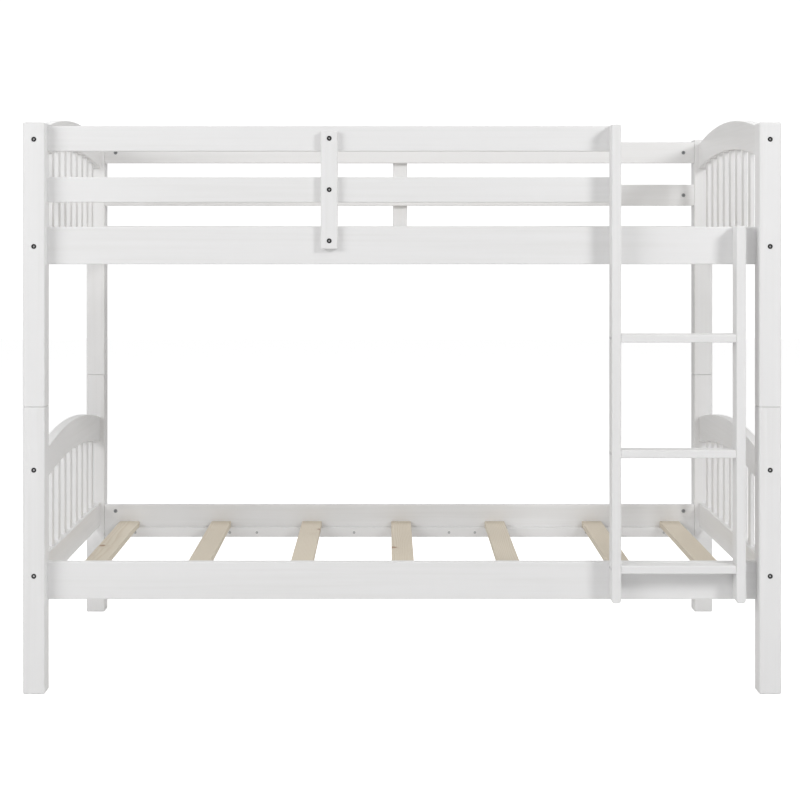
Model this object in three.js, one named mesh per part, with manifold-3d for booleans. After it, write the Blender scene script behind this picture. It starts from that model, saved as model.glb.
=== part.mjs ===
// Bunk bed with a fixed ladder: two single beds, one standing on the other on steel pins.
// Units are millimetres. +X runs along the beds, -Y is the ladder side, +Z is up.
// The origin is on the floor at the centre of the whole outline.
import * as THREE from 'three';
import { mergeVertices } from 'three/addons/utils/BufferGeometryUtils.js';
import ManifoldModule from 'manifold-3d';

const wasm = await ManifoldModule();
wasm.setup();
const { Manifold, Mesh: ManifoldMesh } = wasm;

// ---------------------------------------------------------------- overall sizes
const LENGTH = 2045;            // over the outer faces of the posts
const DEPTH = 1070;             // over the outer faces of the posts
const POST = 60;                // square post
const SEAM_Z = 774;             // where the upper bed stands on the lower bed
const POST_TOP_Z = 1542;
const SEAM_GAP = 0.4;           // lets the upper bed lift off cleanly
const EASE = 3;                 // eased (chamfered) long edges

// ---------------------------------------------------------------- side rails
const RAIL_THICK = 22;
const RAIL_HIGH = 102;
const RAIL_Z = { lower: 248, upper: 1158 };
const GUARD_HIGH = 69;
const GUARD_Z = { mid: 1326, top: 1465 };
const LEDGER = { wide: 23, high: 30, shortBy: 80 };

// ---------------------------------------------------------------- slats
const SLAT = { wide: 64, thick: 18, endGap: 2 };
const SLAT_CENTRES = {
  lower: [-881, -582, -286, 5, 310, 627, 881],
  upper: [-881, -588, -294, 0, 294, 588, 881],
};

// ---------------------------------------------------------------- end panels
const END_RAIL_THICK = 28;
const END_RAIL_HIGH = 78;
const END_RAIL_Z = { lower: 279, upper: 1168 };
const ARCH = { topRise: 44, topEnd: 82, underRise: 40, steps: 20 };
const ARCH_END_Z = { lower: 555, upper: 1447 };
const SPINDLE = { count: 9, thick: 12, wide: 34, topGap: 0.3 };

// ---------------------------------------------------------------- straps
const STRAP = { wide: 46, thick: 18, frontX: -197, backX: 2, z0: 1200, z1: 1520 };
const STRAP_BOLT_Z = [1222, 1360.5, 1499.5];

// ---------------------------------------------------------------- ladder
const STILE = { wide: 26, deep: 55, leftX: 576, rightX: 911, z0: 248, leftTop: 1535, rightTop: 1263 };
const RUNG = { thick: 22, deep: 50, setIn: 2, topZ: [349, 660, 971] };

// ---------------------------------------------------------------- hardware
const PIN = { r: 5, tightR: 5.1, holeR: 5.4, into: 40 };
const BOLT = { headR: 6.5, headHigh: 2.5, shankR: 3, holeR: 3.3, sinkR: 6.9, sinkDeep: 2.5 };
const POST_BOLT_Z = { lower: [318, 604], upper: [1207, 1496] };
const SIDE_BOLT_Z = { lower: [269, 329], upper: [1179, 1239, 1360.5, 1499.5] };

// ---------------------------------------------------------------- derived planes
const LADDER_PROUD = STILE.deep - (POST - RAIL_THICK);   // ladder front ahead of the posts
const FRONT_Y = -(DEPTH + LADDER_PROUD) / 2 + LADDER_PROUD;
const BACK_Y = FRONT_Y + DEPTH;
const POST_X = LENGTH / 2 - POST / 2;
const POST_Y = { front: FRONT_Y + POST / 2, back: BACK_Y - POST / 2 };
const MID_Y = (FRONT_Y + BACK_Y) / 2;
const INNER_LENGTH = LENGTH - 2 * POST;
const INNER_DEPTH = DEPTH - 2 * POST;
const RAIL_Y = {
  front: FRONT_Y + POST - RAIL_THICK / 2,
  back: BACK_Y - POST + RAIL_THICK / 2,
};
const INWARD = { front: 1, back: -1 };
const GUARD_RIGHT_X = STILE.leftX + STILE.wide / 2;

// ---------------------------------------------------------------- finishes
const paint = () => new THREE.MeshStandardMaterial({ color: 0xe9e8e6, roughness: 0.45, metalness: 0 });
const pine = () => new THREE.MeshStandardMaterial({ color: 0xd6c7ac, roughness: 0.7, metalness: 0 });
const steel = () => new THREE.MeshStandardMaterial({ color: 0xb9bcc0, roughness: 0.35, metalness: 0.9 });

// ---------------------------------------------------------------- solid helpers
/** Turn a three.js geometry into a manifold solid. */
function solidOf(geometry) {
  const bare = new THREE.BufferGeometry();
  bare.setAttribute('position', geometry.getAttribute('position'));
  if (geometry.index) bare.setIndex(geometry.index);
  const merged = mergeVertices(bare, 1e-4);
  return new Manifold(new ManifoldMesh({
    numProp: 3,
    vertProperties: new Float32Array(merged.getAttribute('position').array),
    triVerts: new Uint32Array(merged.index.array),
  }));
}

/** Turn a manifold solid back into a flat-shaded three.js geometry. */
function geometryOf(solid) {
  const mesh = solid.getMesh();
  const geometry = new THREE.BufferGeometry();
  geometry.setAttribute('position', new THREE.BufferAttribute(mesh.vertProperties, 3));
  geometry.setIndex(new THREE.BufferAttribute(mesh.triVerts, 1));
  const flat = geometry.toNonIndexed();
  flat.computeVertexNormals();
  return flat;
}

/** Rectangle of a by b with its four corners eased. */
function easedRectangle(a, b, ease = EASE) {
  const x = a / 2;
  const y = b / 2;
  const shape = new THREE.Shape();
  shape.moveTo(-x + ease, -y);
  shape.lineTo(x - ease, -y);
  shape.lineTo(x, -y + ease);
  shape.lineTo(x, y - ease);
  shape.lineTo(x - ease, y);
  shape.lineTo(-x + ease, y);
  shape.lineTo(-x, y - ease);
  shape.lineTo(-x, -y + ease);
  shape.closePath();
  return shape;
}

/** Board with its length along one axis, centred on the origin. */
function board(size, along, ease = EASE) {
  const [sx, sy, sz] = size;
  const section = { x: [sz, sy], y: [sx, sz], z: [sx, sy] }[along];
  const long = { x: sx, y: sy, z: sz }[along];
  const geometry = new THREE.ExtrudeGeometry(easedRectangle(...section, ease), {
    depth: long,
    bevelEnabled: false,
  });
  geometry.translate(0, 0, -long / 2);
  if (along === 'x') geometry.rotateY(Math.PI / 2);
  if (along === 'y') geometry.rotateX(Math.PI / 2);
  return geometry;
}

/** Round bar between two heights on an axis, turned to lie along x, y or z. */
function roundBar(radius, from, to, along) {
  const geometry = new THREE.CylinderGeometry(radius, radius, to - from, 24);
  geometry.rotateX(Math.PI / 2);
  geometry.translate(0, 0, (from + to) / 2);
  if (along === 'x') geometry.rotateY(Math.PI / 2);
  if (along === 'y') geometry.rotateX(-Math.PI / 2);
  return geometry;
}

/** Cut a list of tool geometries, each with its place, out of a body geometry. */
function cutAll(geometry, tools) {
  let solid = solidOf(geometry);
  for (const { shape, at } of tools) {
    const moved = shape.clone();
    moved.translate(...at);
    solid = solid.subtract(solidOf(moved));
  }
  return geometryOf(solid);
}

/** Named mesh at a place. */
function part(name, geometry, material, at) {
  const mesh = new THREE.Mesh(geometry, material);
  mesh.name = name;
  mesh.position.set(...at);
  return mesh;
}

// ---------------------------------------------------------------- posts
/** One half-height post with its bolt recesses and the hole for the steel pin. */
function makePost(level, side, end) {
  const z0 = level === 'lower' ? 0 : SEAM_Z + SEAM_GAP;
  const z1 = level === 'lower' ? SEAM_Z : POST_TOP_Z;
  const high = z1 - z0;
  const mid = (z0 + z1) / 2;
  const outY = -INWARD[side];
  const outX = end === 'left' ? -1 : 1;
  const railOffsetY = RAIL_Y[side] - POST_Y[side];
  const tools = [];
  const sink = (along) => roundBar(BOLT.sinkR, -BOLT.sinkDeep, BOLT.sinkDeep, along);
  for (const z of POST_BOLT_Z[level]) {
    tools.push({ shape: sink('y'), at: [0, outY * POST / 2, z - mid] });
  }
  for (const z of SIDE_BOLT_Z[level]) {
    tools.push({ shape: sink('x'), at: [outX * POST / 2, railOffsetY, z - mid] });
  }
  const hole = level === 'lower'
    ? roundBar(PIN.tightR, high / 2 - PIN.into, high / 2 + 1, 'z')
    : roundBar(PIN.holeR, -high / 2 - 1, -high / 2 + PIN.into + 1, 'z');
  tools.push({ shape: hole, at: [0, 0, 0] });
  const geometry = cutAll(board([POST, POST, high], 'z', 4), tools);
  return part(`post_${level}_${side}_${end}`, geometry, paint(), [outX * POST_X, POST_Y[side], mid]);
}

/** Steel pin that stands in a lower post and keys the upper post to it. */
function makePin(side, end) {
  const outX = end === 'left' ? -1 : 1;
  const profile = [
    new THREE.Vector2(0, -PIN.into),
    new THREE.Vector2(PIN.r, -PIN.into),
    new THREE.Vector2(PIN.r, PIN.into - 3),
    new THREE.Vector2(PIN.r - 2, PIN.into),
    new THREE.Vector2(0, PIN.into),
  ];
  const geometry = new THREE.LatheGeometry(profile, 24);
  geometry.rotateX(Math.PI / 2);
  return part(`pin_${side}_${end}`, geometryOf(solidOf(geometry)), steel(), [outX * POST_X, POST_Y[side], SEAM_Z]);
}

// ---------------------------------------------------------------- rails
/** Side rail with its ledger; the ledger is screwed to the inner face. */
function makeSideRail(level, side) {
  const z = RAIL_Z[level];
  const plain = board([INNER_LENGTH, RAIL_THICK, RAIL_HIGH], 'x');
  const strapX = side === 'front' ? STRAP.frontX : STRAP.backX;
  const boltAt = [strapX, 0, STRAP_BOLT_Z[0] - z - RAIL_HIGH / 2];
  const hole = { shape: roundBar(BOLT.holeR, -RAIL_THICK, RAIL_THICK, 'y'), at: boltAt };
  const rail = level === 'upper' ? cutAll(plain, [hole]) : plain;
  const ledger = board([INNER_LENGTH - LEDGER.shortBy, LEDGER.wide, LEDGER.high], 'x', 2);
  const ledgerY = RAIL_Y[side] + INWARD[side] * (RAIL_THICK + LEDGER.wide) / 2;
  return [
    part(`side_rail_${level}_${side}`, rail, paint(), [0, RAIL_Y[side], z + RAIL_HIGH / 2]),
    part(`ledger_${level}_${side}`, ledger, paint(), [0, ledgerY, z + LEDGER.high / 2]),
  ];
}

/** Loose pine slats lying on the two ledgers. */
function makeSlats(level) {
  const top = RAIL_Z[level] + LEDGER.high;
  return SLAT_CENTRES[level].map((x, i) => part(
    `slat_${level}_${i + 1}`,
    board([SLAT.wide, INNER_DEPTH - SLAT.endGap, SLAT.thick], 'y', 1.5),
    pine(),
    [x, MID_Y, top + SLAT.thick / 2],
  ));
}

/** Guard rail of the upper bed; the front pair stops at the ladder. */
function makeGuard(row, side) {
  const x0 = -INNER_LENGTH / 2;
  const x1 = side === 'front' ? GUARD_RIGHT_X : INNER_LENGTH / 2;
  const mid = (x0 + x1) / 2;
  const strapX = side === 'front' ? STRAP.frontX : STRAP.backX;
  const boltZ = row === 'mid' ? STRAP_BOLT_Z[1] : STRAP_BOLT_Z[2];
  const z = GUARD_Z[row] + GUARD_HIGH / 2;
  const hole = { shape: roundBar(BOLT.holeR, -RAIL_THICK, RAIL_THICK, 'y'), at: [strapX - mid, 0, boltZ - z] };
  const geometry = cutAll(board([x1 - x0, RAIL_THICK, GUARD_HIGH], 'x'), [hole]);
  return part(`guard_${row}_${side}`, geometry, paint(), [mid, RAIL_Y[side], z]);
}

// ---------------------------------------------------------------- end panels
/** Height of the arch's underside above its end, u = -1 to 1 across the panel. */
const underAt = (u) => ARCH.underRise * (1 - u * u);
const topAt = (u) => ARCH.topEnd + ARCH.topRise * (1 - u * u);

/** Arched top rail, drawn in the YZ plane and given its thickness along X. */
function makeArch(level, end) {
  const half = INNER_DEPTH / 2;
  const us = [];
  for (let i = 0; i <= 2 * ARCH.steps; i += 1) us.push(i / ARCH.steps - 1);
  const shape = new THREE.Shape();
  shape.moveTo(-half, underAt(-1));
  for (const u of us.slice(1)) shape.lineTo(u * half, underAt(u));
  for (const u of us.slice().reverse()) shape.lineTo(u * half, topAt(u));
  shape.closePath();
  const geometry = new THREE.ExtrudeGeometry(shape, { depth: END_RAIL_THICK, bevelEnabled: false });
  geometry.translate(0, 0, -END_RAIL_THICK / 2);
  geometry.rotateY(Math.PI / 2);
  geometry.rotateX(Math.PI / 2);
  const outX = end === 'left' ? -1 : 1;
  return part(`arch_rail_${level}_${end}`, geometry, paint(), [outX * POST_X, MID_Y, ARCH_END_Z[level]]);
}

/** Bottom rail of an end panel with its glued-in spindles, which stop just under the arch. */
function makeSpindleRail(level, end) {
  const z0 = END_RAIL_Z[level];
  const archZ = ARCH_END_Z[level];
  const railTop = z0 + END_RAIL_HIGH;
  const mid = z0 + END_RAIL_HIGH / 2;
  const half = INNER_DEPTH / 2;
  let solid = solidOf(board([END_RAIL_THICK, INNER_DEPTH, END_RAIL_HIGH], 'y'));
  const pitch = INNER_DEPTH / (SPINDLE.count + 1);
  for (let k = 1; k <= SPINDLE.count; k += 1) {
    const y = k * pitch - half;
    const uMin = Math.abs(y - SPINDLE.wide / 2) > Math.abs(y + SPINDLE.wide / 2)
      ? (y - SPINDLE.wide / 2) / half
      : (y + SPINDLE.wide / 2) / half;
    const top = archZ + underAt(uMin) - SPINDLE.topGap;
    const bottom = railTop - 10;
    const bar = board([SPINDLE.thick, SPINDLE.wide, top - bottom], 'z', 1.5);
    bar.translate(0, y, (top + bottom) / 2 - mid);
    solid = solid.add(solidOf(bar));
  }
  const outX = end === 'left' ? -1 : 1;
  return part(`spindle_rail_${level}_${end}`, geometryOf(solid), paint(), [outX * POST_X, MID_Y, mid]);
}

// ---------------------------------------------------------------- straps
/** Upright strap that ties the guard rails to the side rail, with three bolt holes. */
function makeStrap(side) {
  const outY = -INWARD[side];
  const x = side === 'front' ? STRAP.frontX : STRAP.backX;
  const y = RAIL_Y[side] + outY * (RAIL_THICK + STRAP.thick) / 2;
  const mid = (STRAP.z0 + STRAP.z1) / 2;
  const tools = [];
  for (const z of STRAP_BOLT_Z) {
    tools.push({ shape: roundBar(BOLT.holeR, -STRAP.thick, STRAP.thick, 'y'), at: [0, 0, z - mid] });
    const from = outY > 0 ? STRAP.thick / 2 - BOLT.sinkDeep : -STRAP.thick / 2 - 5;
    const to = outY > 0 ? STRAP.thick / 2 + 5 : -STRAP.thick / 2 + BOLT.sinkDeep;
    tools.push({ shape: roundBar(BOLT.sinkR, from, to, 'y'), at: [0, 0, z - mid] });
  }
  const geometry = cutAll(board([STRAP.wide, STRAP.thick, STRAP.z1 - STRAP.z0], 'z'), tools);
  return part(`strap_${side}`, geometry, paint(), [x, y, mid]);
}

/** Bolt through a strap: a round head in the recess and a plain shank. */
function makeStrapBolt(side, index) {
  const outY = -INWARD[side];
  const x = side === 'front' ? STRAP.frontX : STRAP.backX;
  const face = RAIL_Y[side] + outY * (RAIL_THICK / 2 + STRAP.thick);
  const through = STRAP.thick + RAIL_THICK - BOLT.sinkDeep - 2;
  const head = BOLT.headHigh - 0.5;
  const profile = [
    new THREE.Vector2(0, -through),
    new THREE.Vector2(BOLT.shankR, -through),
    new THREE.Vector2(BOLT.shankR, 0),
    new THREE.Vector2(BOLT.headR, 0),
    new THREE.Vector2(BOLT.headR, head - 0.8),
    new THREE.Vector2(BOLT.headR - 0.8, head),
    new THREE.Vector2(0, head),
  ];
  const geometry = new THREE.LatheGeometry(profile, 24);
  if (outY < 0) geometry.rotateX(Math.PI);
  const y = face - outY * (BOLT.sinkDeep - 0.1);
  return part(`strap_bolt_${side}_${index + 1}`, geometryOf(solidOf(geometry)), steel(), [x, y, STRAP_BOLT_Z[index]]);
}

// ---------------------------------------------------------------- ladder
/** Ladder standing against the front rails: one long stile, one short stile and three rungs. */
function makeLadder() {
  const y = FRONT_Y + (POST - RAIL_THICK) - STILE.deep / 2;
  const parts = [];
  for (const [name, x, top] of [['left', STILE.leftX, STILE.leftTop], ['right', STILE.rightX, STILE.rightTop]]) {
    const high = top - STILE.z0;
    const geometry = board([STILE.wide, STILE.deep, high], 'z');
    parts.push(part(`ladder_stile_${name}`, geometry, paint(), [x, y, STILE.z0 + high / 2]));
  }
  const rungLong = STILE.rightX - STILE.leftX - STILE.wide;
  const rungX = (STILE.rightX + STILE.leftX) / 2;
  const rungY = y - STILE.deep / 2 + RUNG.setIn + RUNG.deep / 2;
  RUNG.topZ.forEach((top, i) => {
    const geometry = board([rungLong, RUNG.deep, RUNG.thick], 'x');
    parts.push(part(`ladder_rung_${i + 1}`, geometry, paint(), [rungX, rungY, top - RUNG.thick / 2]));
  });
  return parts;
}

// ---------------------------------------------------------------- assembly
const bed = new THREE.Group();
bed.name = 'bunk_bed';
for (const level of ['lower', 'upper']) {
  const group = new THREE.Group();
  group.name = `${level}_bed_group`;
  for (const side of ['front', 'back']) {
    for (const end of ['left', 'right']) group.add(makePost(level, side, end));
    group.add(...makeSideRail(level, side));
  }
  for (const end of ['left', 'right']) group.add(makeArch(level, end), makeSpindleRail(level, end));
  group.add(...makeSlats(level));
  bed.add(group);
}
for (const side of ['front', 'back']) {
  bed.add(makeGuard('mid', side), makeGuard('top', side), makeStrap(side));
  STRAP_BOLT_Z.forEach((z, i) => bed.add(makeStrapBolt(side, i)));
  for (const end of ['left', 'right']) bed.add(makePin(side, end));
}
bed.add(...makeLadder());

export default bed;
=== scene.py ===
"""Bunk bed with a fixed ladder: white painted timber, loose pine slats and socket bolts.

Lengths are metres in the frame's own axes: +X runs along the beds, -Y is the ladder side and +Z is up.
Every board is sawn from its own place in a log, so no two boards share a grain.
"""

import logging
import math
import random
from dataclasses import dataclass
from enum import Enum
from typing import Any, Sequence, Union

import bmesh
import bpy
from mathutils import Matrix, Vector

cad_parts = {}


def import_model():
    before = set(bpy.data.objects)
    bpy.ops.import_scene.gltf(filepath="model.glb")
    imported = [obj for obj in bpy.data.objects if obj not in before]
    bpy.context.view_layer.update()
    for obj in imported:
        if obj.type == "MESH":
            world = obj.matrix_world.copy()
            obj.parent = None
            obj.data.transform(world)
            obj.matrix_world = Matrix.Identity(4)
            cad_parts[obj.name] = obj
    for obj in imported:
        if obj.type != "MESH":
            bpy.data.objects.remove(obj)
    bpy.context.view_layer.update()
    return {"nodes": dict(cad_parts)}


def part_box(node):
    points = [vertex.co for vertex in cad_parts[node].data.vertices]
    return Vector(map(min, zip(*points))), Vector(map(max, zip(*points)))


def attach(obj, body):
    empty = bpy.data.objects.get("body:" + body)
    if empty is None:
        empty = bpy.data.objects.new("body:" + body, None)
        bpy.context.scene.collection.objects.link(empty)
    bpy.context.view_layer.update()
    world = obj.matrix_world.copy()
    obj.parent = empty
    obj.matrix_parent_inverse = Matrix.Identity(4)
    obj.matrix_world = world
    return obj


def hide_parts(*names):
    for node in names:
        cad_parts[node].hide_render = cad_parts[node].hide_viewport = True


log = logging.getLogger("bunk_bed")

LOG_PLACE = "log_place"      # point attribute: where in its log a board was sawn
ARRIS = "arris"              # point attribute: 1 along a rounded edge, 0 on a flat
SHARP_ANGLE = math.radians(40)
TOUCH = 1e-5                 # two planes nearer than this are the same plane
ROUND_SIDES = 32             # sides of a drilled hole
RIM_EASE = 0.0004            # easing of a drilled hole's rim

Colour = tuple[float, float, float]
Spots = list[tuple[Vector, Vector]]     # for each fitting, a spot on the wood and the way that it looks


# ---------------------------------------------------------------- named options
class Axis(Enum):
    """An axis of the frame."""

    X = 0
    Y = 1
    Z = 2

    @property
    def unit(self) -> Vector:
        """Unit vector along the axis."""
        return Vector([1.0 if i == self.value else 0.0 for i in range(3)])


class Level(Enum):
    """The two beds, one standing on the other."""

    LOWER = "lower"
    UPPER = "upper"

    @property
    def body(self) -> str:
        """Name of the frame's body that this bed is."""
        return f"{self.value}_bed"


class Side(Enum):
    """The two long sides; the ladder stands at the front."""

    FRONT = "front"
    BACK = "back"

    @property
    def outward(self) -> Vector:
        """Direction from the bed's middle out through this side."""
        return Vector((0, -1 if self is Side.FRONT else 1, 0))


class End(Enum):
    """The two short ends."""

    LEFT = "left"
    RIGHT = "right"

    @property
    def outward(self) -> Vector:
        """Direction from the bed's middle out through this end."""
        return Vector((-1 if self is End.LEFT else 1, 0, 0))


class Slot(Enum):
    """The record's material slots."""

    PAINT = "white_paint"
    PINE = "pine"
    STEEL = "steel"


class EndCut(Enum):
    """How the end of a board is worked."""

    CRISP = "crisp"          # sawn square, its edges barely eased
    ROUNDED = "rounded"      # rounded over like the long edges


class Drive(Enum):
    """Recess in a head that takes the driver."""

    HEX = "hex"
    SLOT = "slot"
    CROSS = "cross"

    def reach(self, angle: float, size: float) -> float:
        """Distance from the head's axis to the recess's wall.

        Args:
            angle: Direction round the axis, in radians.
            size: Half of the recess's longest width.

        Returns:
            The distance in metres.
        """
        if self is Drive.HEX:
            flat = math.pi / 3
            return size * math.cos(flat / 2) / math.cos((angle % flat) - flat / 2)
        across = size * (0.16 if self is Drive.SLOT else 0.3)
        slot = min(size / max(abs(math.cos(angle)), 1e-6), across / max(abs(math.sin(angle)), 1e-6))
        if self is Drive.SLOT:
            return slot
        other = min(size / max(abs(math.sin(angle)), 1e-6), across / max(abs(math.cos(angle)), 1e-6))
        return max(slot, other)


# ---------------------------------------------------------------- shader maths
class Wire:
    """One output of a node. Arithmetic on it adds Math nodes."""

    def __init__(self, writer: "NodeWriter", socket: bpy.types.NodeSocket) -> None:
        """Keep the socket and the writer that adds nodes after it."""
        self.writer = writer
        self.socket = socket

    def _maths(self, operation: str, first: "Value", second: "Value" = 0.0) -> "Wire":
        """Add one Math node on two values."""
        return self.writer.node("ShaderNodeMath", {"operation": operation}, {0: first, 1: second})

    def __add__(self, other: "Value") -> "Wire":
        """This plus the other."""
        return self._maths("ADD", self, other)

    def __radd__(self, other: "Value") -> "Wire":
        """The other plus this."""
        return self._maths("ADD", other, self)

    def __sub__(self, other: "Value") -> "Wire":
        """This less the other."""
        return self._maths("SUBTRACT", self, other)

    def __rsub__(self, other: "Value") -> "Wire":
        """The other less this."""
        return self._maths("SUBTRACT", other, self)

    def __mul__(self, other: "Value") -> "Wire":
        """This times the other."""
        return self._maths("MULTIPLY", self, other)

    def __rmul__(self, other: "Value") -> "Wire":
        """The other times this."""
        return self._maths("MULTIPLY", other, self)

    def __truediv__(self, other: "Value") -> "Wire":
        """This divided by the other."""
        return self._maths("DIVIDE", self, other)

    def __gt__(self, other: "Value") -> "Wire":
        """1 where this is more than the other, else 0."""
        return self._maths("GREATER_THAN", self, other)

    def fraction(self) -> "Wire":
        """What is left of this after its whole part."""
        return self._maths("FRACT", self)

    def root(self) -> "Wire":
        """Square root of this."""
        return self._maths("SQRT", self)

    def fade(self, start: float, stop: float) -> "Wire":
        """Rise smoothly from 0 to 1 between two values; a falling fade has start above stop.

        Args:
            start: Value that gives 0.
            stop: Value that gives 1.

        Returns:
            The eased step.
        """
        return self.writer.node(
            "ShaderNodeMapRange",
            {"interpolation_type": "SMOOTHSTEP"},
            {"Value": self, "From Min": start, "From Max": stop, "To Min": 0.0, "To Max": 1.0},
        )


Value = Union[float, Wire]


class NodeWriter:
    """Writes nodes into one node tree."""

    def __init__(self, tree: bpy.types.NodeTree) -> None:
        """Take over an empty tree."""
        self.tree = tree
        tree.nodes.clear()

    def node(
        self,
        kind: str,
        settings: dict[str, Any] | None = None,
        inputs: dict[str | int, Any] | None = None,
        output: str | int = 0,
    ) -> Wire:
        """Add one node.

        Args:
            kind: The node's type.
            settings: What is set on the node itself, before its sockets.
            inputs: A value, a colour or a wire for each socket named or numbered.
            output: The output that the caller wants.

        Returns:
            That output.
        """
        made = self.tree.nodes.new(kind)
        for key, value in (settings or {}).items():
            setattr(made, key, value)
        for key, value in (inputs or {}).items():
            socket = made.inputs[key]
            if isinstance(value, Wire):
                self.tree.links.new(value.socket, socket)
            elif socket.type == "RGBA":
                socket.default_value = (*value, 1.0)
            else:
                socket.default_value = value
        return Wire(self, made.outputs[output] if len(made.outputs) else made.inputs[0])


class Shader(NodeWriter):
    """A surface material being written."""

    def __init__(self, name: str) -> None:
        """Start an empty material.

        Args:
            name: The material's name.
        """
        self.material = bpy.data.materials.new(name)
        self.material.use_nodes = True
        super().__init__(self.material.node_tree)

    def places(self) -> Wire:
        """The piece's own coordinates."""
        return self.node("ShaderNodeTexCoord", output="Object")

    def log_place(self) -> Wire:
        """Place in the log: along the grain first, then across it both ways."""
        return self.node("ShaderNodeAttribute", {"attribute_name": LOG_PLACE}, output="Vector")

    def arris(self) -> Wire:
        """1 along rounded edges, 0 on flats."""
        return self.node("ShaderNodeAttribute", {"attribute_name": ARRIS}, output="Fac")

    def noise(self, place: Wire, waves: Sequence[float], detail: float = 2.0) -> Wire:
        """Soft noise with its own number of waves a metre along each axis.

        Args:
            place: Coordinates that the noise follows.
            waves: Waves a metre along the three axes.
            detail: Finer layers of noise on top of the first.

        Returns:
            The noise, around 0.5.
        """
        stretched = self.node("ShaderNodeVectorMath", {"operation": "MULTIPLY"}, {0: place, 1: waves})
        return self.node("ShaderNodeTexNoise", {}, {"Vector": stretched, "Scale": 1.0, "Detail": detail})

    def blend(self, first: Any, second: Any, share: Value) -> Wire:
        """Mix two colours.

        Args:
            first: Colour at a share of 0.
            second: Colour at a share of 1.
            share: How much of the second colour there is.

        Returns:
            The mixed colour.
        """
        return self.node("ShaderNodeMix", {"data_type": "RGBA"}, {0: share, 6: first, 7: second}, output=2)

    def bump(self, height: Wire, depth: float) -> Wire:
        """Normal of a surface whose relief runs from 0 to a depth in metres."""
        return self.node("ShaderNodeBump", {}, {"Strength": 1.0, "Distance": depth, "Height": height})

    def surface(self, inputs: dict[str, Any]) -> bpy.types.Material:
        """Close the material with a Principled surface.

        Args:
            inputs: Values and wires for its sockets, by name.

        Returns:
            The finished material.
        """
        shaded = self.node("ShaderNodeBsdfPrincipled", {}, inputs)
        self.node("ShaderNodeOutputMaterial", {}, {"Surface": shaded})
        return self.material


# ---------------------------------------------------------------- finishes
@dataclass(frozen=True)
class SatinPaint:
    """Sprayed satin white over planed pine: soft sheen, faint grain, thinner on the arrises."""

    film: Colour = (0.833, 0.83, 0.83)
    thin: Colour = (0.792, 0.788, 0.782)
    arris_film: Colour = (0.80, 0.797, 0.79)
    rough: float = 0.38
    relief: float = 0.00016

    def material(self) -> bpy.types.Material:
        """Write the material.

        Returns:
            The finished material.
        """
        shader = Shader("satin_white_paint")
        place = shader.log_place()
        drift = shader.noise(place, (1.1, 7.0, 7.0), 1.0)
        figure = shader.noise(place, (2.2, 95.0, 95.0), 2.0)
        pores = shader.noise(place, (22.0, 620.0, 620.0), 2.0)
        spray = shader.noise(place, (240.0, 240.0, 240.0), 1.0)
        showing = (drift * 0.5 + figure * 0.5).fade(0.42, 0.78)
        flat = shader.blend(self.film, self.thin, showing)
        colour = shader.blend(flat, self.arris_film, shader.arris() * 0.6)
        relief = figure * 0.55 + pores * 0.3 + spray * 0.15
        return shader.surface({
            "Base Color": colour,
            "Roughness": self.rough + drift * 0.08 + spray * 0.05,
            "Coat Roughness": 0.25,
            "Coat Weight": 0.08,
            "Normal": shader.bump(relief, self.relief),
        })


@dataclass(frozen=True)
class PlanedPine:
    """Bare planed pine: growth rings, a few knots and a dry surface."""

    early: Colour = (0.70, 0.635, 0.525)
    late: Colour = (0.57, 0.475, 0.35)
    knot: Colour = (0.34, 0.2, 0.11)
    ring: float = 0.0034
    wander: float = 0.016
    rough: float = 0.62
    relief: float = 0.00014

    def material(self) -> bpy.types.Material:
        """Write the material.

        Returns:
            The finished material.
        """
        shader = Shader("planed_pine")
        place = shader.log_place()
        apart = self._split(shader, place)
        eye, core = self._knots(shader, place)
        bend = shader.noise(place, (1.5, 10.0, 10.0), 2.0) * self.wander
        ripple = shader.noise(place, (7.0, 60.0, 60.0), 1.0) * 0.0012
        radius = (apart[1] * apart[1] + apart[2] * apart[2]).root() + bend + ripple + eye * 0.014
        growth = (radius / self.ring).fraction()
        late = growth.fade(0.35, 0.9) * (1.0 - growth.fade(0.93, 1.0))
        fibre = shader.noise(place, (14.0, 900.0, 900.0), 2.0)
        tone = shader.noise(place, (0.9, 6.0, 6.0), 1.0)
        wood = shader.blend(self.early, self.late, late * 0.55 + (fibre - 0.5) * 0.35 + (tone - 0.5) * 0.5)
        colour = shader.blend(wood, self.knot, core * 0.85 + eye * 0.12)
        relief = fibre * 0.6 + late * 0.4 - core * 0.3
        return shader.surface({
            "Base Color": colour,
            "Roughness": self.rough - late * 0.08 - core * 0.15 + fibre * 0.08,
            "Normal": shader.bump(relief, self.relief),
        })

    @staticmethod
    def _split(shader: Shader, place: Wire) -> list[Wire]:
        """The three parts of a place in the log."""
        first = shader.node("ShaderNodeSeparateXYZ", {}, {0: place})
        return [Wire(shader, out) for out in first.socket.node.outputs]

    @staticmethod
    def _knots(shader: Shader, place: Wire) -> tuple[Wire, Wire]:
        """Sparse knots: a wide eye that the rings bend round, and its dark core.

        Args:
            shader: The material being written.
            place: Place in the log.

        Returns:
            How much of the eye and of the core there is, each from 0 to 1.
        """
        waves = (12.0, 17.0, 17.0)
        cells = shader.node("ShaderNodeVectorMath", {"operation": "MULTIPLY"}, {0: place, 1: waves})
        near = shader.node("ShaderNodeTexVoronoi", {}, {"Vector": cells, "Scale": 1.0}, output="Distance")
        draw = Wire(shader, near.socket.node.outputs["Color"])
        pick = shader.node("ShaderNodeSeparateColor", {}, {0: draw}) > 0.86
        return near.fade(0.55, 0.1) * pick, near.fade(0.2, 0.12) * pick


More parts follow.
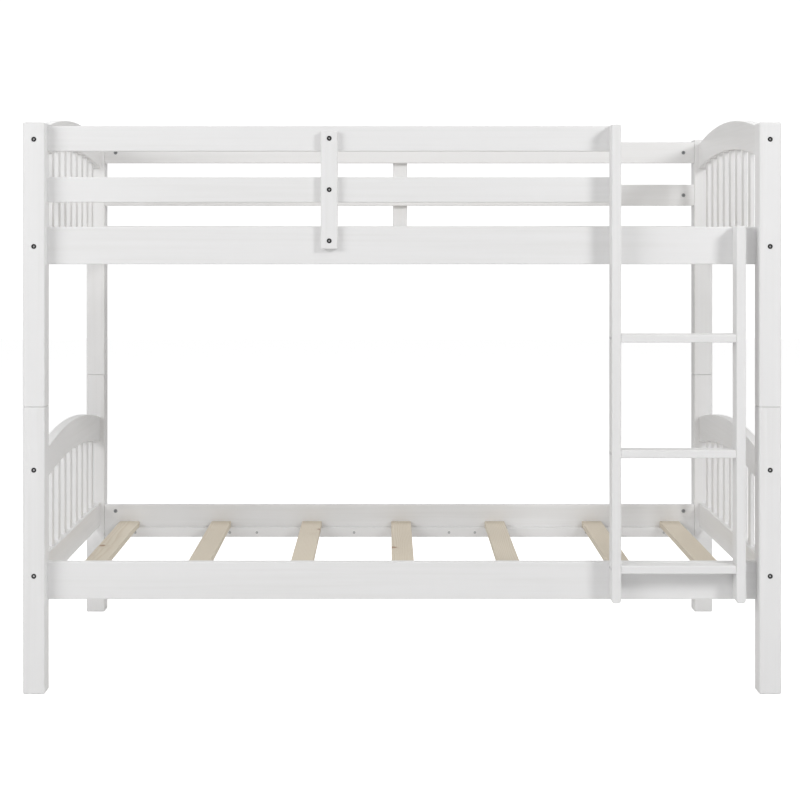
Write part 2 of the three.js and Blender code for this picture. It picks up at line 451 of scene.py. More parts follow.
@dataclass(frozen=True)
class PlatedSteel:
    """Plated steel with fine turning marks and a slightly uneven plate."""

    name: str
    plate: Colour
    worn: Colour
    rough: float = 0.32
    metallic: float = 0.9

    def material(self) -> bpy.types.Material:
        """Write the material.

        Returns:
            The finished material.
        """
        shader = Shader(self.name)
        place = shader.places()
        cloud = shader.noise(place, (260.0, 260.0, 260.0), 2.0)
        grit = shader.noise(place, (2600.0, 2600.0, 2600.0), 1.0)
        colour = shader.blend(self.plate, self.worn, (cloud * 0.7 + grit * 0.3).fade(0.4, 0.75))
        return shader.surface({
            "Base Color": colour,
            "Metallic": self.metallic,
            "Roughness": self.rough + (cloud - 0.5) * 0.2,
            "Normal": shader.bump(grit, 0.00002),
        })


@dataclass(frozen=True)
class StudioFloor:
    """Matt studio floor: it looks as white as the surround, but lights the bed only as matt card would."""

    tone: Colour = (0.84, 0.84, 0.84)
    unlit: Colour = (0.0, 0.0, 0.0)
    glow: Colour = (0.7, 0.7, 0.7)

    def material(self) -> bpy.types.Material:
        """Write the material.

        Returns:
            The finished material.
        """
        shader = Shader("studio_floor")
        cloud = shader.noise(shader.places(), (0.8, 0.8, 0.8), 3.0)
        looked_at = shader.node("ShaderNodeLightPath", output="Is Camera Ray")
        return shader.surface({
            "Base Color": self.tone,
            "Roughness": 0.75 + cloud * 0.15,
            "Emission Color": shader.blend(self.unlit, self.glow, looked_at),
            "Emission Strength": 1.0,
        })


@dataclass(frozen=True)
class Finishes:
    """Every finish of the bed, made once."""

    paint: bpy.types.Material
    pine: bpy.types.Material
    bolt: bpy.types.Material
    socket: bpy.types.Material
    zinc: bpy.types.Material

    @classmethod
    def mix(cls) -> "Finishes":
        """Write all of the bed's materials.

        Returns:
            The finishes.
        """
        return cls(
            paint=SatinPaint().material(),
            pine=PlanedPine().material(),
            # Blackened steel is the bolt heads' own colour; on the zinc dowels and screws it also darkens the
            # recess floors as painted shade.
            bolt=PlatedSteel("blackened_steel_and_painted_recess_shade", (0.035, 0.035, 0.037), (0.09, 0.088, 0.085), 0.36).material(),
            # The socket floor of each black bolt head is painted bright: a painted glint, not the steel's own
            # colour.
            socket=PlatedSteel("socket_painted_glint", (0.72, 0.72, 0.72), (0.55, 0.55, 0.56), 0.28).material(),
            zinc=PlatedSteel("zinc_plate", (0.36, 0.37, 0.38), (0.26, 0.265, 0.275), 0.34).material(),
        )


# ---------------------------------------------------------------- joinery
def round_over(
    board: bmesh.types.BMesh,
    edges: Sequence[bmesh.types.BMEdge],
    radius: float,
    segments: int = 4,
) -> None:
    """Round edges of a board and mark the rounding as arris.

    Args:
        board: The board.
        edges: The edges that are rounded.
        radius: Radius of the rounding.
        segments: Flats that make up the rounding.
    """
    made = bmesh.ops.bevel(
        board, geom=list(edges), offset=radius, offset_type="OFFSET", segments=segments,
        profile=0.5, affect="EDGES", material=-1, clamp_overlap=True,
    )
    strip = set(made["faces"])
    arris = board.verts.layers.float[ARRIS]
    for vert in made["verts"]:
        if all(face in strip for face in vert.link_faces):
            vert[arris] = 1.0


def end_edges(board: bmesh.types.BMesh, along: Axis, at: float) -> list[bmesh.types.BMEdge]:
    """Edges that lie in the plane of one end of a board."""
    axis = along.value
    return [e for e in board.edges if all(abs(v.co[axis] - at) < TOUCH for v in e.verts)]


def square_board(low: Vector, high: Vector) -> bmesh.types.BMesh:
    """Saw a board square to fill a box.

    Args:
        low: The box's lowest corner.
        high: The box's highest corner.

    Returns:
        The board's mesh.
    """
    board = bmesh.new()
    board.verts.layers.float.new(ARRIS)
    bmesh.ops.create_cube(board, size=1.0)
    bmesh.ops.scale(board, vec=high - low, verts=board.verts)
    bmesh.ops.translate(board, vec=(low + high) / 2, verts=board.verts)
    return board


def plane_board(
    low: Vector,
    high: Vector,
    along: Axis,
    radius: float,
    ends: tuple[EndCut, EndCut] = (EndCut.CRISP, EndCut.CRISP),
    crisp: float = 0.0008,
) -> bmesh.types.BMesh:
    """Plane a board that fills a box.

    Args:
        low: The box's lowest corner.
        high: The box's highest corner.
        along: The way that the grain runs.
        radius: Rounding of the long edges.
        ends: How the low and the high end are worked.
        crisp: Easing of an end that is sawn square.

    Returns:
        The board's mesh.
    """
    board = square_board(low, high)
    axis = along.value
    places = (low[axis], high[axis])
    loops = [end_edges(board, along, place) for place in places]
    square = {e for loop in loops for e in loop}
    rounded = [e for e in board.edges if e not in square]
    for cut, loop in zip(ends, loops):
        if cut is EndCut.ROUNDED:
            rounded += loop
    round_over(board, rounded, radius)
    for cut, place in zip(ends, places):
        if cut is EndCut.CRISP:
            round_over(board, end_edges(board, along, place), crisp, 2)
    return board


def plane_stile(low: Vector, high: Vector, radius: float, foot: float) -> bmesh.types.BMesh:
    """Plane an upright board whose bottom corners are cut round, seen from the front.

    Args:
        low: The lowest corner of the box that it fills.
        high: The box's highest corner.
        radius: Rounding of its front and back outlines and of its top.
        foot: Radius of the bottom corners.

    Returns:
        The board's mesh.
    """
    board = square_board(low, high)
    corners = [e for e in end_edges(board, Axis.Z, low.z) if abs(e.verts[0].co.y - e.verts[1].co.y) > TOUCH]
    bmesh.ops.bevel(
        board, geom=corners, offset=foot, offset_type="OFFSET", segments=8,
        profile=0.5, affect="EDGES", material=-1, clamp_overlap=True,
    )
    top = set(end_edges(board, Axis.Z, high.z))
    outlines = set(end_edges(board, Axis.Y, low.y) + end_edges(board, Axis.Y, high.y))
    round_over(board, list(outlines | top), radius)
    return board


def flat_at(solid: bmesh.types.BMesh, spot: Vector, outward: Vector) -> bmesh.types.BMFace:
    """The flat face that a spot lies on.

    Args:
        solid: The mesh.
        spot: A point on the face.
        outward: The way the face looks.

    Returns:
        The face.
    """
    solid.normal_update()
    for face in solid.faces:
        level = abs((face.verts[0].co - spot).dot(outward)) < TOUCH
        if level and face.normal.dot(outward) > 0.999 and bmesh.geometry.intersect_face_point(face, spot):
            return face
    raise ValueError(f"no flat face at {tuple(spot)}")


def shape_rim(face: bmesh.types.BMFace, centre: Vector, outward: Vector, reach: Any) -> None:
    """Move a face's corners to a given distance from its axis.

    Args:
        face: The face whose outline is shaped.
        centre: A point on the axis, in the face's plane.
        outward: The axis.
        reach: Function from the angle round the axis to the distance.
    """
    right = outward.orthogonal().normalized()
    up = outward.cross(right)
    for vert in face.verts:
        arm = vert.co - centre
        angle = math.atan2(arm.dot(up), arm.dot(right))
        vert.co = centre + reach(angle) * (math.cos(angle) * right + math.sin(angle) * up)


def drill(
    board: bmesh.types.BMesh,
    spot: Vector,
    outward: Vector,
    radius: float,
    depth: float,
) -> None:
    """Drill a flat-bottomed round recess into a flat face.

    Args:
        board: The board.
        spot: Centre of the hole on the face.
        outward: The way the face looks.
        radius: Radius of the hole.
        depth: Depth of the hole.
    """
    patch = radius * 1.35
    for axis in Axis:
        if abs(axis.unit.dot(outward)) > 0.5:
            continue
        for sign in (-1.0, 1.0):
            face = flat_at(board, spot, outward)
            bmesh.ops.bisect_plane(
                board, geom=[face, *face.edges, *face.verts],
                plane_co=spot + axis.unit * sign * patch, plane_no=axis.unit,
            )
    face = flat_at(board, spot, outward)
    for edge in list(face.edges):
        corner = edge.verts[0]
        for left in range(ROUND_SIDES // 4, 1, -1):
            corner = bmesh.utils.edge_split(edge, corner, 1.0 / left)[1]
    bmesh.ops.inset_individual(board, faces=[face], thickness=patch * 0.08, use_even_offset=True)
    shape_rim(face, spot, outward, lambda angle: radius)
    rim = list(face.edges)
    floor = bmesh.ops.extrude_discrete_faces(board, faces=[face])["faces"][0]
    bmesh.ops.translate(board, vec=outward * -depth, verts=floor.verts)
    round_over(board, rim, RIM_EASE, 2)


def saw_from_log(board: bmesh.types.BMesh, along: Axis, name: str) -> None:
    """Give every point of a board its place in the log that it was sawn from.

    Args:
        board: The board.
        along: The way that the grain runs.
        name: The board's name, which settles its place in the log.
    """
    draw = random.Random(name)
    layer = board.verts.layers.float_vector.new(LOG_PLACE)
    angle = draw.uniform(0, 2 * math.pi)
    heart = draw.uniform(0.035, 0.11)
    start = Vector((draw.uniform(0, 12.0), heart * math.cos(angle), heart * math.sin(angle)))
    order = [(along.value + step) % 3 for step in range(3)]
    middle = sum((vert.co for vert in board.verts), Vector()) / len(board.verts)
    for vert in board.verts:
        place = vert.co - middle
        vert[layer] = start + Vector([place[i] for i in order])


def merge_into(target: bmesh.types.BMesh, extra: bmesh.types.BMesh) -> None:
    """Add one mesh to another and free it.

    Args:
        target: The mesh that gains it.
        extra: The mesh that is added and freed.
    """
    spare = bpy.data.meshes.new("spare")
    extra.to_mesh(spare)
    extra.free()
    target.from_mesh(spare)
    bpy.data.meshes.remove(spare)


def stand_up(outward: Vector, spot: Vector) -> Matrix:
    """Turn a fitting made along +Z to look along a direction, and put it at a spot."""
    return Matrix.Translation(spot) @ Vector((0, 0, 1)).rotation_difference(outward).to_matrix().to_4x4()


@dataclass(frozen=True)
class Fitting:
    """A turned steel head with a recess for the driver. Its face is the plane z = 0 before it is placed."""

    radius: float
    high: float
    ease: float
    drive: Drive
    drive_size: float
    drive_deep: float

    def mesh(self) -> bmesh.types.BMesh:
        """Turn the head and sink its recess.

        Returns:
            The head's mesh, looking along +Z; the floor of its recess takes the second material.
        """
        head = bmesh.new()
        bmesh.ops.create_circle(head, cap_ends=True, segments=24, radius=self.radius)
        bmesh.ops.translate(head, vec=(0, 0, -self.high), verts=head.verts)
        base = head.faces[:]
        top = bmesh.ops.extrude_face_region(head, geom=base)["geom"]
        cap = [part for part in top if isinstance(part, bmesh.types.BMFace)][0]
        bmesh.ops.translate(head, vec=(0, 0, self.high), verts=cap.verts)
        bmesh.ops.recalc_face_normals(head, faces=head.faces)
        bmesh.ops.bevel(
            head, geom=list(cap.edges), offset=self.ease, offset_type="OFFSET", segments=3,
            profile=0.5, affect="EDGES", material=-1, clamp_overlap=True,
        )
        head.normal_update()
        cap = max(head.faces, key=lambda face: (face.calc_center_median().z, face.calc_area()))
        around = self.radius - self.ease - self.drive_size * 1.12
        bmesh.ops.inset_individual(head, faces=[cap], thickness=around, use_even_offset=True)
        bmesh.ops.inset_individual(head, faces=[cap], thickness=self.drive_size * 0.1, use_even_offset=True)
        shape_rim(cap, Vector(), Axis.Z.unit, lambda angle: self.drive.reach(angle, self.drive_size))
        floor = bmesh.ops.extrude_discrete_faces(head, faces=[cap])["faces"][0]
        bmesh.ops.translate(head, vec=(0, 0, -self.drive_deep), verts=floor.verts)
        floor.material_index = 1
        return head

    def place(self, target: bmesh.types.BMesh, spot: Vector, outward: Vector) -> None:
        """Add one of these to a mesh.

        Args:
            target: The mesh that gains it.
            spot: Where the middle of its face goes.
            outward: The way its face looks.
        """
        head = self.mesh()
        bmesh.ops.transform(head, matrix=stand_up(outward, spot), verts=head.verts)
        merge_into(target, head)


SOCKET_BOLT = Fitting(
    radius=0.0065, high=0.0022, ease=0.0009, drive=Drive.HEX, drive_size=0.0029, drive_deep=0.0012,
)
CROSS_DOWEL = Fitting(
    radius=0.0060, high=0.0030, ease=0.0005, drive=Drive.SLOT, drive_size=0.0042, drive_deep=0.0012,
)
WOOD_SCREW = Fitting(
    radius=0.0038, high=0.0012, ease=0.0004, drive=Drive.CROSS, drive_size=0.0021, drive_deep=0.0009,
)
BOLT_SINK = (0.0069, 0.0025)     # radius and depth of the recess round a bolt head
DOWEL_SINK = (0.0063, 0.0022)    # the same round a cross dowel
BOLT_DROP = 0.0003               # a bolt head's face lies this far below the wood
DOWEL_DROP = 0.0004              # the same for a cross dowel
SCREW_PROUD = 0.0003             # a screw head stands this far proud of the wood
DOWEL_INSET = 0.035              # from a rail's end to its cross dowels


# ---------------------------------------------------------------- the bench
@dataclass
class Bench:
    """Where a mesh becomes a finished piece of the bed."""

    finishes: Finishes
    made: int = 0

    def piece(
        self,
        name: str,
        mesh: bmesh.types.BMesh,
        materials: Sequence[bpy.types.Material],
        level: Level,
        slot: Slot,
        stands_for: Sequence[str] = (),
    ) -> bpy.types.Object:
        """Finish a piece and give it to its bed.

        Args:
            name: The piece's name.
            mesh: Its shape, in place; it is freed.
            materials: Its materials, in the order of its faces' numbers.
            level: The bed that it moves with.
            slot: The record's slot for its finish; not used.
            stands_for: The frame's nodes that it is shown in place of.

        Returns:
            The piece.
        """
        data = bpy.data.meshes.new(name)
        bmesh.ops.recalc_face_normals(mesh, faces=mesh.faces)
        mesh.to_mesh(data)
        mesh.free()
        data.shade_smooth()
        data.set_sharp_from_angle(angle=SHARP_ANGLE)
        for material in materials:
            data.materials.append(material)
        made = bpy.data.objects.new(name, data)
        bpy.context.scene.collection.objects.link(made)
        even = made.modifiers.new("even_normals", "WEIGHTED_NORMAL")
        even.keep_sharp = True
        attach(made, level.body)
        if stands_for:
            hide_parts(*stands_for)
        self.made += 1
        log.info("%s: %d faces on %s", name, len(data.polygons), level.body)
        return made

    def timber(
        self,
        node: str,
        board: bmesh.types.BMesh,
        along: Axis,
        level: Level,
        slot: Slot = Slot.PAINT,
    ) -> None:
        """Finish a board that stands for one of the frame's nodes.

        Args:
            node: The frame's node.
            board: The board's mesh, in place.
            along: The way that its grain runs.
            level: The bed that it belongs to.
            slot: The finish that it gets.
        """
        saw_from_log(board, along, node)
        finish = self.finishes.pine if slot is Slot.PINE else self.finishes.paint
        self.piece(f"{node}_timber", board, [finish], level, slot, [node])

    def bolts(self, name: str, spots: Spots, level: Level, nodes: Sequence[str] = ()) -> None:
        """Finish a set of socket bolts.

        Args:
            name: The set's name.
            spots: For each bolt, the spot on the wood and the way that it looks.
            level: The bed that they belong to.
            nodes: The frame's nodes that they are shown in place of.
        """
        heads = bmesh.new()
        for spot, outward in spots:
            SOCKET_BOLT.place(heads, spot - outward * BOLT_DROP, outward)
        # Each socket floor takes the bright socket material, a painted glint in the black head.
        self.piece(name, heads, [self.finishes.bolt, self.finishes.socket], level, Slot.STEEL, nodes)

    def zinc(self, name: str, kind: Fitting, spots: Spots, level: Level) -> None:
        """Finish a set of zinc-plated dowels or screws.

        Args:
            name: The set's name.
            kind: The fitting.
            spots: For each one, the spot on the wood and the way that it looks.
            level: The bed that they belong to.
        """
        heads = bmesh.new()
        for spot, outward in spots:
            kind.place(heads, spot, outward)
        # The recess floor of each zinc head takes blackened steel: painted shade in the recess, not the
        # plate's own colour.
        self.piece(name, heads, [self.finishes.zinc, self.finishes.bolt], level, Slot.STEEL)


# ---------------------------------------------------------------- sub-assemblies
@dataclass
class Posts:
    """The four posts of one bed, with the bolts on their outer faces."""

    bench: Bench
    level: Level
    radius: float = 0.0045
    seam_ease: float = 0.002
    face_bolts: tuple[float, ...] = ()
    end_bolts: tuple[float, ...] = ()

    def build(self) -> None:
        """Make the four posts."""
        for side in Side:
            rail_y = sum(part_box(f"side_rail_{self.level.value}_{side.value}"), Vector()).y / 2
            for end in End:
                self._post(side, end, rail_y)

    def _post(self, side: Side, end: End, rail_y: float) -> None:
        """Make one post and its bolts.

        Args:
            side: The long side that it stands on.
            end: The end that it stands at.
            rail_y: Middle of the side rail that the end bolts hold.
        """
        node = f"post_{self.level.value}_{side.value}_{end.value}"
        low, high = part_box(node)
        ends = (EndCut.ROUNDED, EndCut.CRISP)
        if self.level is Level.UPPER:
            ends = (EndCut.CRISP, EndCut.ROUNDED)
        post = plane_board(low, high, Axis.Z, self.radius, ends, crisp=self.seam_ease)
        middle = (low + high) / 2
        face_y = low.y if side is Side.FRONT else high.y
        face_x = low.x if end is End.LEFT else high.x
        spots = [(Vector((middle.x, face_y, z)), side.outward) for z in self.face_bolts]
        spots += [(Vector((face_x, rail_y, z)), end.outward) for z in self.end_bolts]
        for spot, outward in spots:
            drill(post, spot, outward, *BOLT_SINK)
        self.bench.timber(node, post, Axis.Z, self.level)
        self.bench.bolts(f"bolts_{node}", spots, self.level)


@dataclass
class SideFrame:
    """One side rail with its ledger, its cross dowels and the ledger's screws."""

    bench: Bench
    level: Level
    side: Side
    dowel_heights: tuple[float, ...] = ()
    radius: float = 0.003
    ledger_radius: float = 0.002
    screw_places: tuple[float, ...] = (-0.86, -0.552, -0.464, -0.148, 0.161, 0.245, 0.607, 0.86)

    def build(self) -> None:
        """Make the rail, the ledger and their steel."""
        where = f"{self.level.value}_{self.side.value}"
        rail_node = f"side_rail_{where}"
        rail_low, rail_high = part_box(rail_node)
        rail = plane_board(rail_low, rail_high, Axis.X, self.radius)
        dowels = dowel_spots(rail_low, rail_high, self.side, self.dowel_heights)
        for spot, outward in dowels:
            drill(rail, spot, outward, *DOWEL_SINK)
        self.bench.timber(rail_node, rail, Axis.X, self.level)
        self.bench.zinc(f"cross_dowels_{where}", CROSS_DOWEL, raised(dowels, -DOWEL_DROP), self.level)

        ledger_node = f"ledger_{where}"
        low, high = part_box(ledger_node)
        ledger = plane_board(low, high, Axis.X, self.ledger_radius)
        self.bench.timber(ledger_node, ledger, Axis.X, self.level)
        inner_y = high.y if self.side is Side.FRONT else low.y
        height = (low.z + high.z) / 2
        inward = -self.side.outward
        spots = [(Vector((x, inner_y, height)), inward) for x in self.screw_places]
        self.bench.zinc(f"ledger_screws_{where}", WOOD_SCREW, raised(spots, SCREW_PROUD), self.level)


def dowel_spots(low: Vector, high: Vector, side: Side, heights: Sequence[float]) -> Spots:
    """Where the cross dowels show on the inner face of a rail.

    Args:
        low: The rail's lowest corner.
        high: The rail's highest corner.
        side: The long side that the rail is on.
        heights: Heights of the bolts that pull on the dowels.

    Returns:
        For each dowel, its spot on the rail's inner face and the way that it looks.
    """
    inner_y = high.y if side is Side.FRONT else low.y
    ends = (low.x + DOWEL_INSET, high.x - DOWEL_INSET)
    return [(Vector((x, inner_y, z)), -side.outward) for x in ends for z in heights]


def raised(spots: Spots, proud: float) -> Spots:
    """The same spots moved out of the wood, or into it by a negative length."""
    return [(spot + outward * proud, outward) for spot, outward in spots]


@dataclass
class EndPanel:
    """One end panel: an arched top rail, a bottom rail and the spindles between them."""

    bench: Bench
    level: Level
    end: End
    radius: float = 0.003
    arch_end_high: float = 0.082
    under_rise: float = 0.040
    spindles: int = 9
    spindle_thick: float = 0.012
    spindle_wide: float = 0.034
    spindle_radius: float = 0.0016
    bottom_high: float = 0.078
    tenon: float = 0.008
    steps: int = 44

    def build(self) -> None:
        """Make the arch, the bottom rail and the spindles."""
        where = f"{self.level.value}_{self.end.value}"
        self._arch(f"arch_rail_{where}")
        self._bottom(f"spindle_rail_{where}")
        for number in range(1, self.spindles + 1):
            self._spindle(where, number)

    def _under(self, share: float) -> float:
        """Rise of the arch's underside above its ends, for -1 to 1 across the panel."""
        return self.under_rise * (1 - share * share)

    def _arch(self, node: str) -> None:
        """Bend the arched rail.

        Args:
            node: The rail's node in the frame.
        """
        low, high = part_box(node)
        middle = (low + high) / 2
        half = (high.y - low.y) / 2
        top_rise = high.z - low.z - self.arch_end_high
        arch = bmesh.new()
        arch.verts.layers.float.new(ARRIS)
        bmesh.ops.create_grid(arch, x_segments=self.steps, y_segments=1, size=1.0)
        for vert in arch.verts:
            share = vert.co.x
            top = self.arch_end_high + top_rise * (1 - share * share)
            rise = top if vert.co.y > 0 else self._under(share)
            vert.co = Vector((low.x, middle.y + share * half, low.z + rise))
        made = bmesh.ops.extrude_face_region(arch, geom=arch.faces[:])["geom"]
        moved = [part for part in made if isinstance(part, bmesh.types.BMVert)]
        bmesh.ops.translate(arch, vec=(high.x - low.x, 0, 0), verts=moved)
        bmesh.ops.recalc_face_normals(arch, faces=arch.faces)
        sharp = [e for e in arch.edges if e.calc_face_angle(0.0) > 1.0]
        long_edges = [e for e in sharp if not self._at_end(e, low.y, high.y)]
        round_over(arch, long_edges, self.radius)
        self.bench.timber(node, arch, Axis.Y, self.level)

    @staticmethod
    def _at_end(edge: bmesh.types.BMEdge, low_y: float, high_y: float) -> bool:
        """Whether an edge lies in the end face that meets a post."""
        return any(all(abs(v.co.y - y) < TOUCH for v in edge.verts) for y in (low_y, high_y))

    def _bottom(self, node: str) -> None:
        """Plane the bottom rail.

        Args:
            node: The rail's node in the frame, which holds its spindles as well.
        """
        low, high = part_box(node)
        top = Vector((high.x, high.y, low.z + self.bottom_high))
        self.bench.timber(node, plane_board(low, top, Axis.Y, self.radius), Axis.Y, self.level)

    def _spindle(self, where: str, number: int) -> None:
        """Plane one spindle, let into both rails.

        Args:
            where: The panel's level and end.
            number: The spindle's number, from the front.
        """
        arch_low, arch_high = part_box(f"arch_rail_{where}")
        rail_low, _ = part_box(f"spindle_rail_{where}")
        middle = (arch_low + arch_high) / 2
        half = (arch_high.y - arch_low.y) / 2
        y = arch_low.y + number * 2 * half / (self.spindles + 1)
        top = arch_low.z + self._under((y - middle.y) / half) + self.tenon
        bottom = rail_low.z + self.bottom_high - self.tenon
        reach = Vector((self.spindle_thick / 2, self.spindle_wide / 2, 0))
        low = Vector((middle.x, y, bottom)) - reach
        high = Vector((middle.x, y, top)) + reach
        name = f"spindle_{where}_{number}"
        spindle = plane_board(low, high, Axis.Z, self.spindle_radius)
        saw_from_log(spindle, Axis.Z, name)
        self.bench.piece(name, spindle, [self.bench.finishes.paint], self.level, Slot.PAINT)


@dataclass
class SlatDeck:
    """The loose pine slats of one bed."""

    bench: Bench
    level: Level
    count: int = 7
    radius: float = 0.0018
    end_ease: float = 0.0006

    def build(self) -> None:
        """Plane the slats."""
        for number in range(1, self.count + 1):
            node = f"slat_{self.level.value}_{number}"
            slat = plane_board(*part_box(node), Axis.Y, self.radius, crisp=self.end_ease)
            self.bench.timber(node, slat, Axis.Y, self.level, Slot.PINE)


@dataclass
class GuardSide:
    """The two guard rails of one long side, and the strap that ties them to the side rail."""

    bench: Bench
    side: Side
    radius: float = 0.003
    strap_bolts: int = 3
    level: Level = Level.UPPER

    def build(self) -> None:
        """Make the guards, the strap and its bolts."""
        for row in ("mid", "top"):
            self._guard(f"guard_{row}_{self.side.value}")
        self._strap(f"strap_{self.side.value}")

    def _guard(self, node: str) -> None:
        """Make one guard rail and the dowels in its inner face.

        Args:
            node: The guard rail's node in the frame.
        """
        low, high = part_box(node)
        free_end = EndCut.ROUNDED if self.side is Side.FRONT else EndCut.CRISP
        guard = plane_board(low, high, Axis.X, self.radius, (EndCut.CRISP, free_end))
        dowels = dowel_spots(low, high, self.side, [(low.z + high.z) / 2])
        if self.side is Side.FRONT:
            dowels = dowels[:1]
        for spot, outward in dowels:
            drill(guard, spot, outward, *DOWEL_SINK)
        self.bench.timber(node, guard, Axis.X, self.level)
        self.bench.zinc(f"cross_dowels_{node}", CROSS_DOWEL, raised(dowels, -DOWEL_DROP), self.level)

    def _strap(self, node: str) -> None:
        """Make the strap and its bolts.

        Args:
            node: The strap's node in the frame.
        """
        low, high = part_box(node)
        strap = plane_board(low, high, Axis.Z, self.radius, (EndCut.ROUNDED, EndCut.ROUNDED))
        face_y = low.y if self.side is Side.FRONT else high.y
        for number in range(1, self.strap_bolts + 1):
            bolt = f"strap_bolt_{self.side.value}_{number}"
            middle = sum(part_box(bolt), Vector()) / 2
            spot = Vector((middle.x, face_y, middle.z))
            drill(strap, spot, self.side.outward, *BOLT_SINK)
            self.bench.bolts(f"{bolt}_head", [(spot, self.side.outward)], self.level, [bolt])
        self.bench.timber(node, strap, Axis.Z, self.level)


@dataclass
class Ladder:
    """The ladder: a long and a short stile, three rungs, and the screws that hold the rungs."""

    bench: Bench
    rungs: int = 3
    radius: float = 0.003
    foot: float = 0.0085
    level: Level = Level.UPPER

    def build(self) -> None:
        """Make the stiles, the rungs and the screws."""
        for end in End:
            node = f"ladder_stile_{end.value}"
            stile = plane_stile(*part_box(node), self.radius, self.foot)
            self.bench.timber(node, stile, Axis.Z, self.level)
        screws = []
        for number in range(1, self.rungs + 1):
            node = f"ladder_rung_{number}"
            low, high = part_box(node)
            self.bench.timber(node, plane_board(low, high, Axis.X, self.radius), Axis.X, self.level)
            screws += self._rung_screws((low + high) / 2, (high.y - low.y) / 4)
        self.bench.zinc("ladder_rung_screws", WOOD_SCREW, raised(screws, SCREW_PROUD), self.level)

    @staticmethod
    def _rung_screws(middle: Vector, apart: float) -> Spots:
        """Two screws through each stile into a rung.

        Args:
            middle: Middle of the rung.
            apart: How far each screw is from the rung's middle line.

        Returns:
            For each screw, its spot on the stile's outer face and the way that it looks.
        """
        spots = []
        for end in End:
            low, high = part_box(f"ladder_stile_{end.value}")
            face_x = low.x if end is End.LEFT else high.x
            for offset in (-apart, apart):
                spots.append((Vector((face_x, middle.y + offset, middle.z)), end.outward))
        return spots


@dataclass
class Pins:
    """The steel pins that key the upper bed to the lower bed; the frame's own shapes, dressed."""

    bench: Bench
    nodes: dict[str, bpy.types.Object]

    def dress(self) -> None:
        """Give the pins their zinc plate."""
        for side in Side:
            for end in End:
                pin = self.nodes[f"pin_{side.value}_{end.value}"]
                pin.data.materials.clear()
                pin.data.materials.append(self.bench.finishes.zinc)
                log.info("%s: dressed", pin.name)


# ---------------------------------------------------------------- studio
@dataclass(frozen=True)
class SoftBox:
    """A large soft lamp that looks at a point."""

    name: str
    place: tuple[float, float, float]
    wide: float
    high: float
    power: float

    def hang(self, target: Vector) -> None:
        """Hang the lamp and turn it to a point.

        Args:
            target: The point that it looks at.
        """
        lamp = bpy.data.lights.new(self.name, "AREA")
        lamp.shape = "RECTANGLE"
        lamp.size = self.wide
        lamp.size_y = self.high
        lamp.energy = self.power
        held = bpy.data.objects.new(self.name, lamp)
        held.location = self.place
        held.rotation_euler = (target - Vector(self.place)).to_track_quat("-Z", "Y").to_euler()
        bpy.context.scene.collection.objects.link(held)


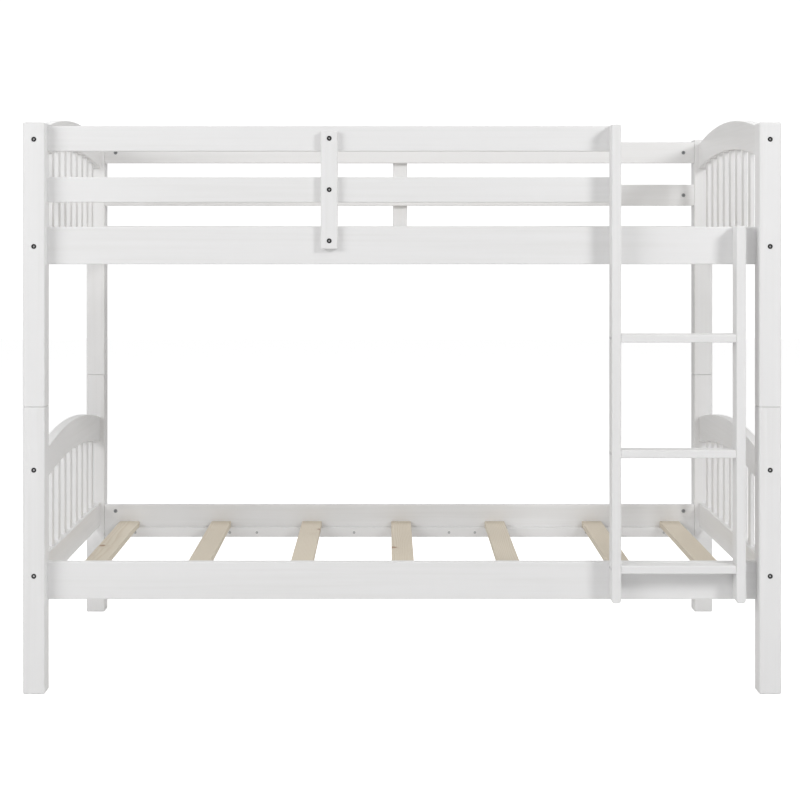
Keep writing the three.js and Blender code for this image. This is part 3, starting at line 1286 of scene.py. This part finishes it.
@dataclass
class Studio:
    """Pale floor, white surround, soft lamps and the camera."""

    camera_place: tuple[float, float, float] = (-0.0386, -5.2935, 1.273)
    lens: float = 79.6
    shift: tuple[float, float] = (0.0154, -0.2225)
    aim: tuple[float, float, float] = (0.0, 0.0, 0.8)
    ambient: float = 0.34
    backdrop: float = 1.1
    floor_half: float = 14.0
    lamps: tuple[SoftBox, ...] = (
        SoftBox("left_key", (-3.9, -3.8, 2.8), 2.8, 1.8, 106.0),
        SoftBox("right_key", (3.7, -3.8, 3.5), 1.2, 1.2, 112.0),
        SoftBox("overhead", (0.0, -0.6, 4.2), 4.0, 3.0, 27.0),
        SoftBox("back_fill", (0.0, 3.0, 3.2), 4.0, 2.0, 45.0),
    )

    def build(self) -> None:
        """Set up the whole studio."""
        self._floor()
        self._surround()
        for lamp in self.lamps:
            lamp.hang(Vector(self.aim))
        self._camera()
        bpy.context.scene.view_settings.view_transform = "Standard"

    def _floor(self) -> None:
        """Lay the floor."""
        plane = bmesh.new()
        bmesh.ops.create_grid(plane, x_segments=8, y_segments=8, size=self.floor_half)
        data = bpy.data.meshes.new("studio_floor")
        plane.to_mesh(data)
        plane.free()
        data.materials.append(StudioFloor().material())
        floor = bpy.data.objects.new("studio_floor", data)
        bpy.context.scene.collection.objects.link(floor)

    def _surround(self) -> None:
        """Light the bed from all round, with a white view behind it."""
        world = bpy.data.worlds.new("studio_surround")
        bpy.context.scene.world = world
        world.use_nodes = True
        sky = NodeWriter(world.node_tree)
        light = sky.node("ShaderNodeBackground", {}, {"Color": (1.0, 1.0, 1.0), "Strength": self.ambient})
        seen = sky.node("ShaderNodeBackground", {}, {"Color": (1.0, 1.0, 1.0), "Strength": self.backdrop})
        looked_at = sky.node("ShaderNodeLightPath", output="Is Camera Ray")
        both = sky.node("ShaderNodeMixShader", {}, {0: looked_at, 1: light, 2: seen})
        sky.node("ShaderNodeOutputWorld", {}, {"Surface": both})

    def _camera(self) -> None:
        """Stand the camera level in front of the bed."""
        data = bpy.data.cameras.new("studio_camera")
        data.lens = self.lens
        data.sensor_width = 36.0
        data.shift_x, data.shift_y = self.shift
        camera = bpy.data.objects.new("studio_camera", data)
        camera.location = self.camera_place
        camera.rotation_euler = (math.radians(90), 0, 0)
        bpy.context.scene.collection.objects.link(camera)
        bpy.context.scene.camera = camera


# ---------------------------------------------------------------- the bed
def build_bed(bench: Bench, nodes: dict[str, bpy.types.Object]) -> None:
    """Build both beds, the guards and the ladder.

    Args:
        bench: Where the pieces are finished.
        nodes: The frame's own objects.
    """
    dowels = {Level.LOWER: (0.269, 0.329), Level.UPPER: (1.179, 1.239)}
    guard_bolts = (1.3605, 1.4995)
    face_bolts = {Level.LOWER: (0.318, 0.604), Level.UPPER: (1.207, 1.496)}
    for level in Level:
        end_bolts = dowels[level] + (guard_bolts if level is Level.UPPER else ())
        Posts(bench, level, face_bolts=face_bolts[level], end_bolts=end_bolts).build()
        for side in Side:
            SideFrame(bench, level, side, dowel_heights=dowels[level]).build()
        for end in End:
            EndPanel(bench, level, end).build()
        SlatDeck(bench, level).build()
    for side in Side:
        GuardSide(bench, side).build()
    Ladder(bench).build()
    Pins(bench, nodes).dress()


def main() -> None:
    """Load the frame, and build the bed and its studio."""
    logging.basicConfig(level=logging.INFO, format="%(name)s %(message)s")
    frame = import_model()
    Studio().build()
    bench = Bench(Finishes.mix())
    build_bed(bench, frame["nodes"])
    log.info("%d pieces made", bench.made)


if __name__ == "__main__":
    main()
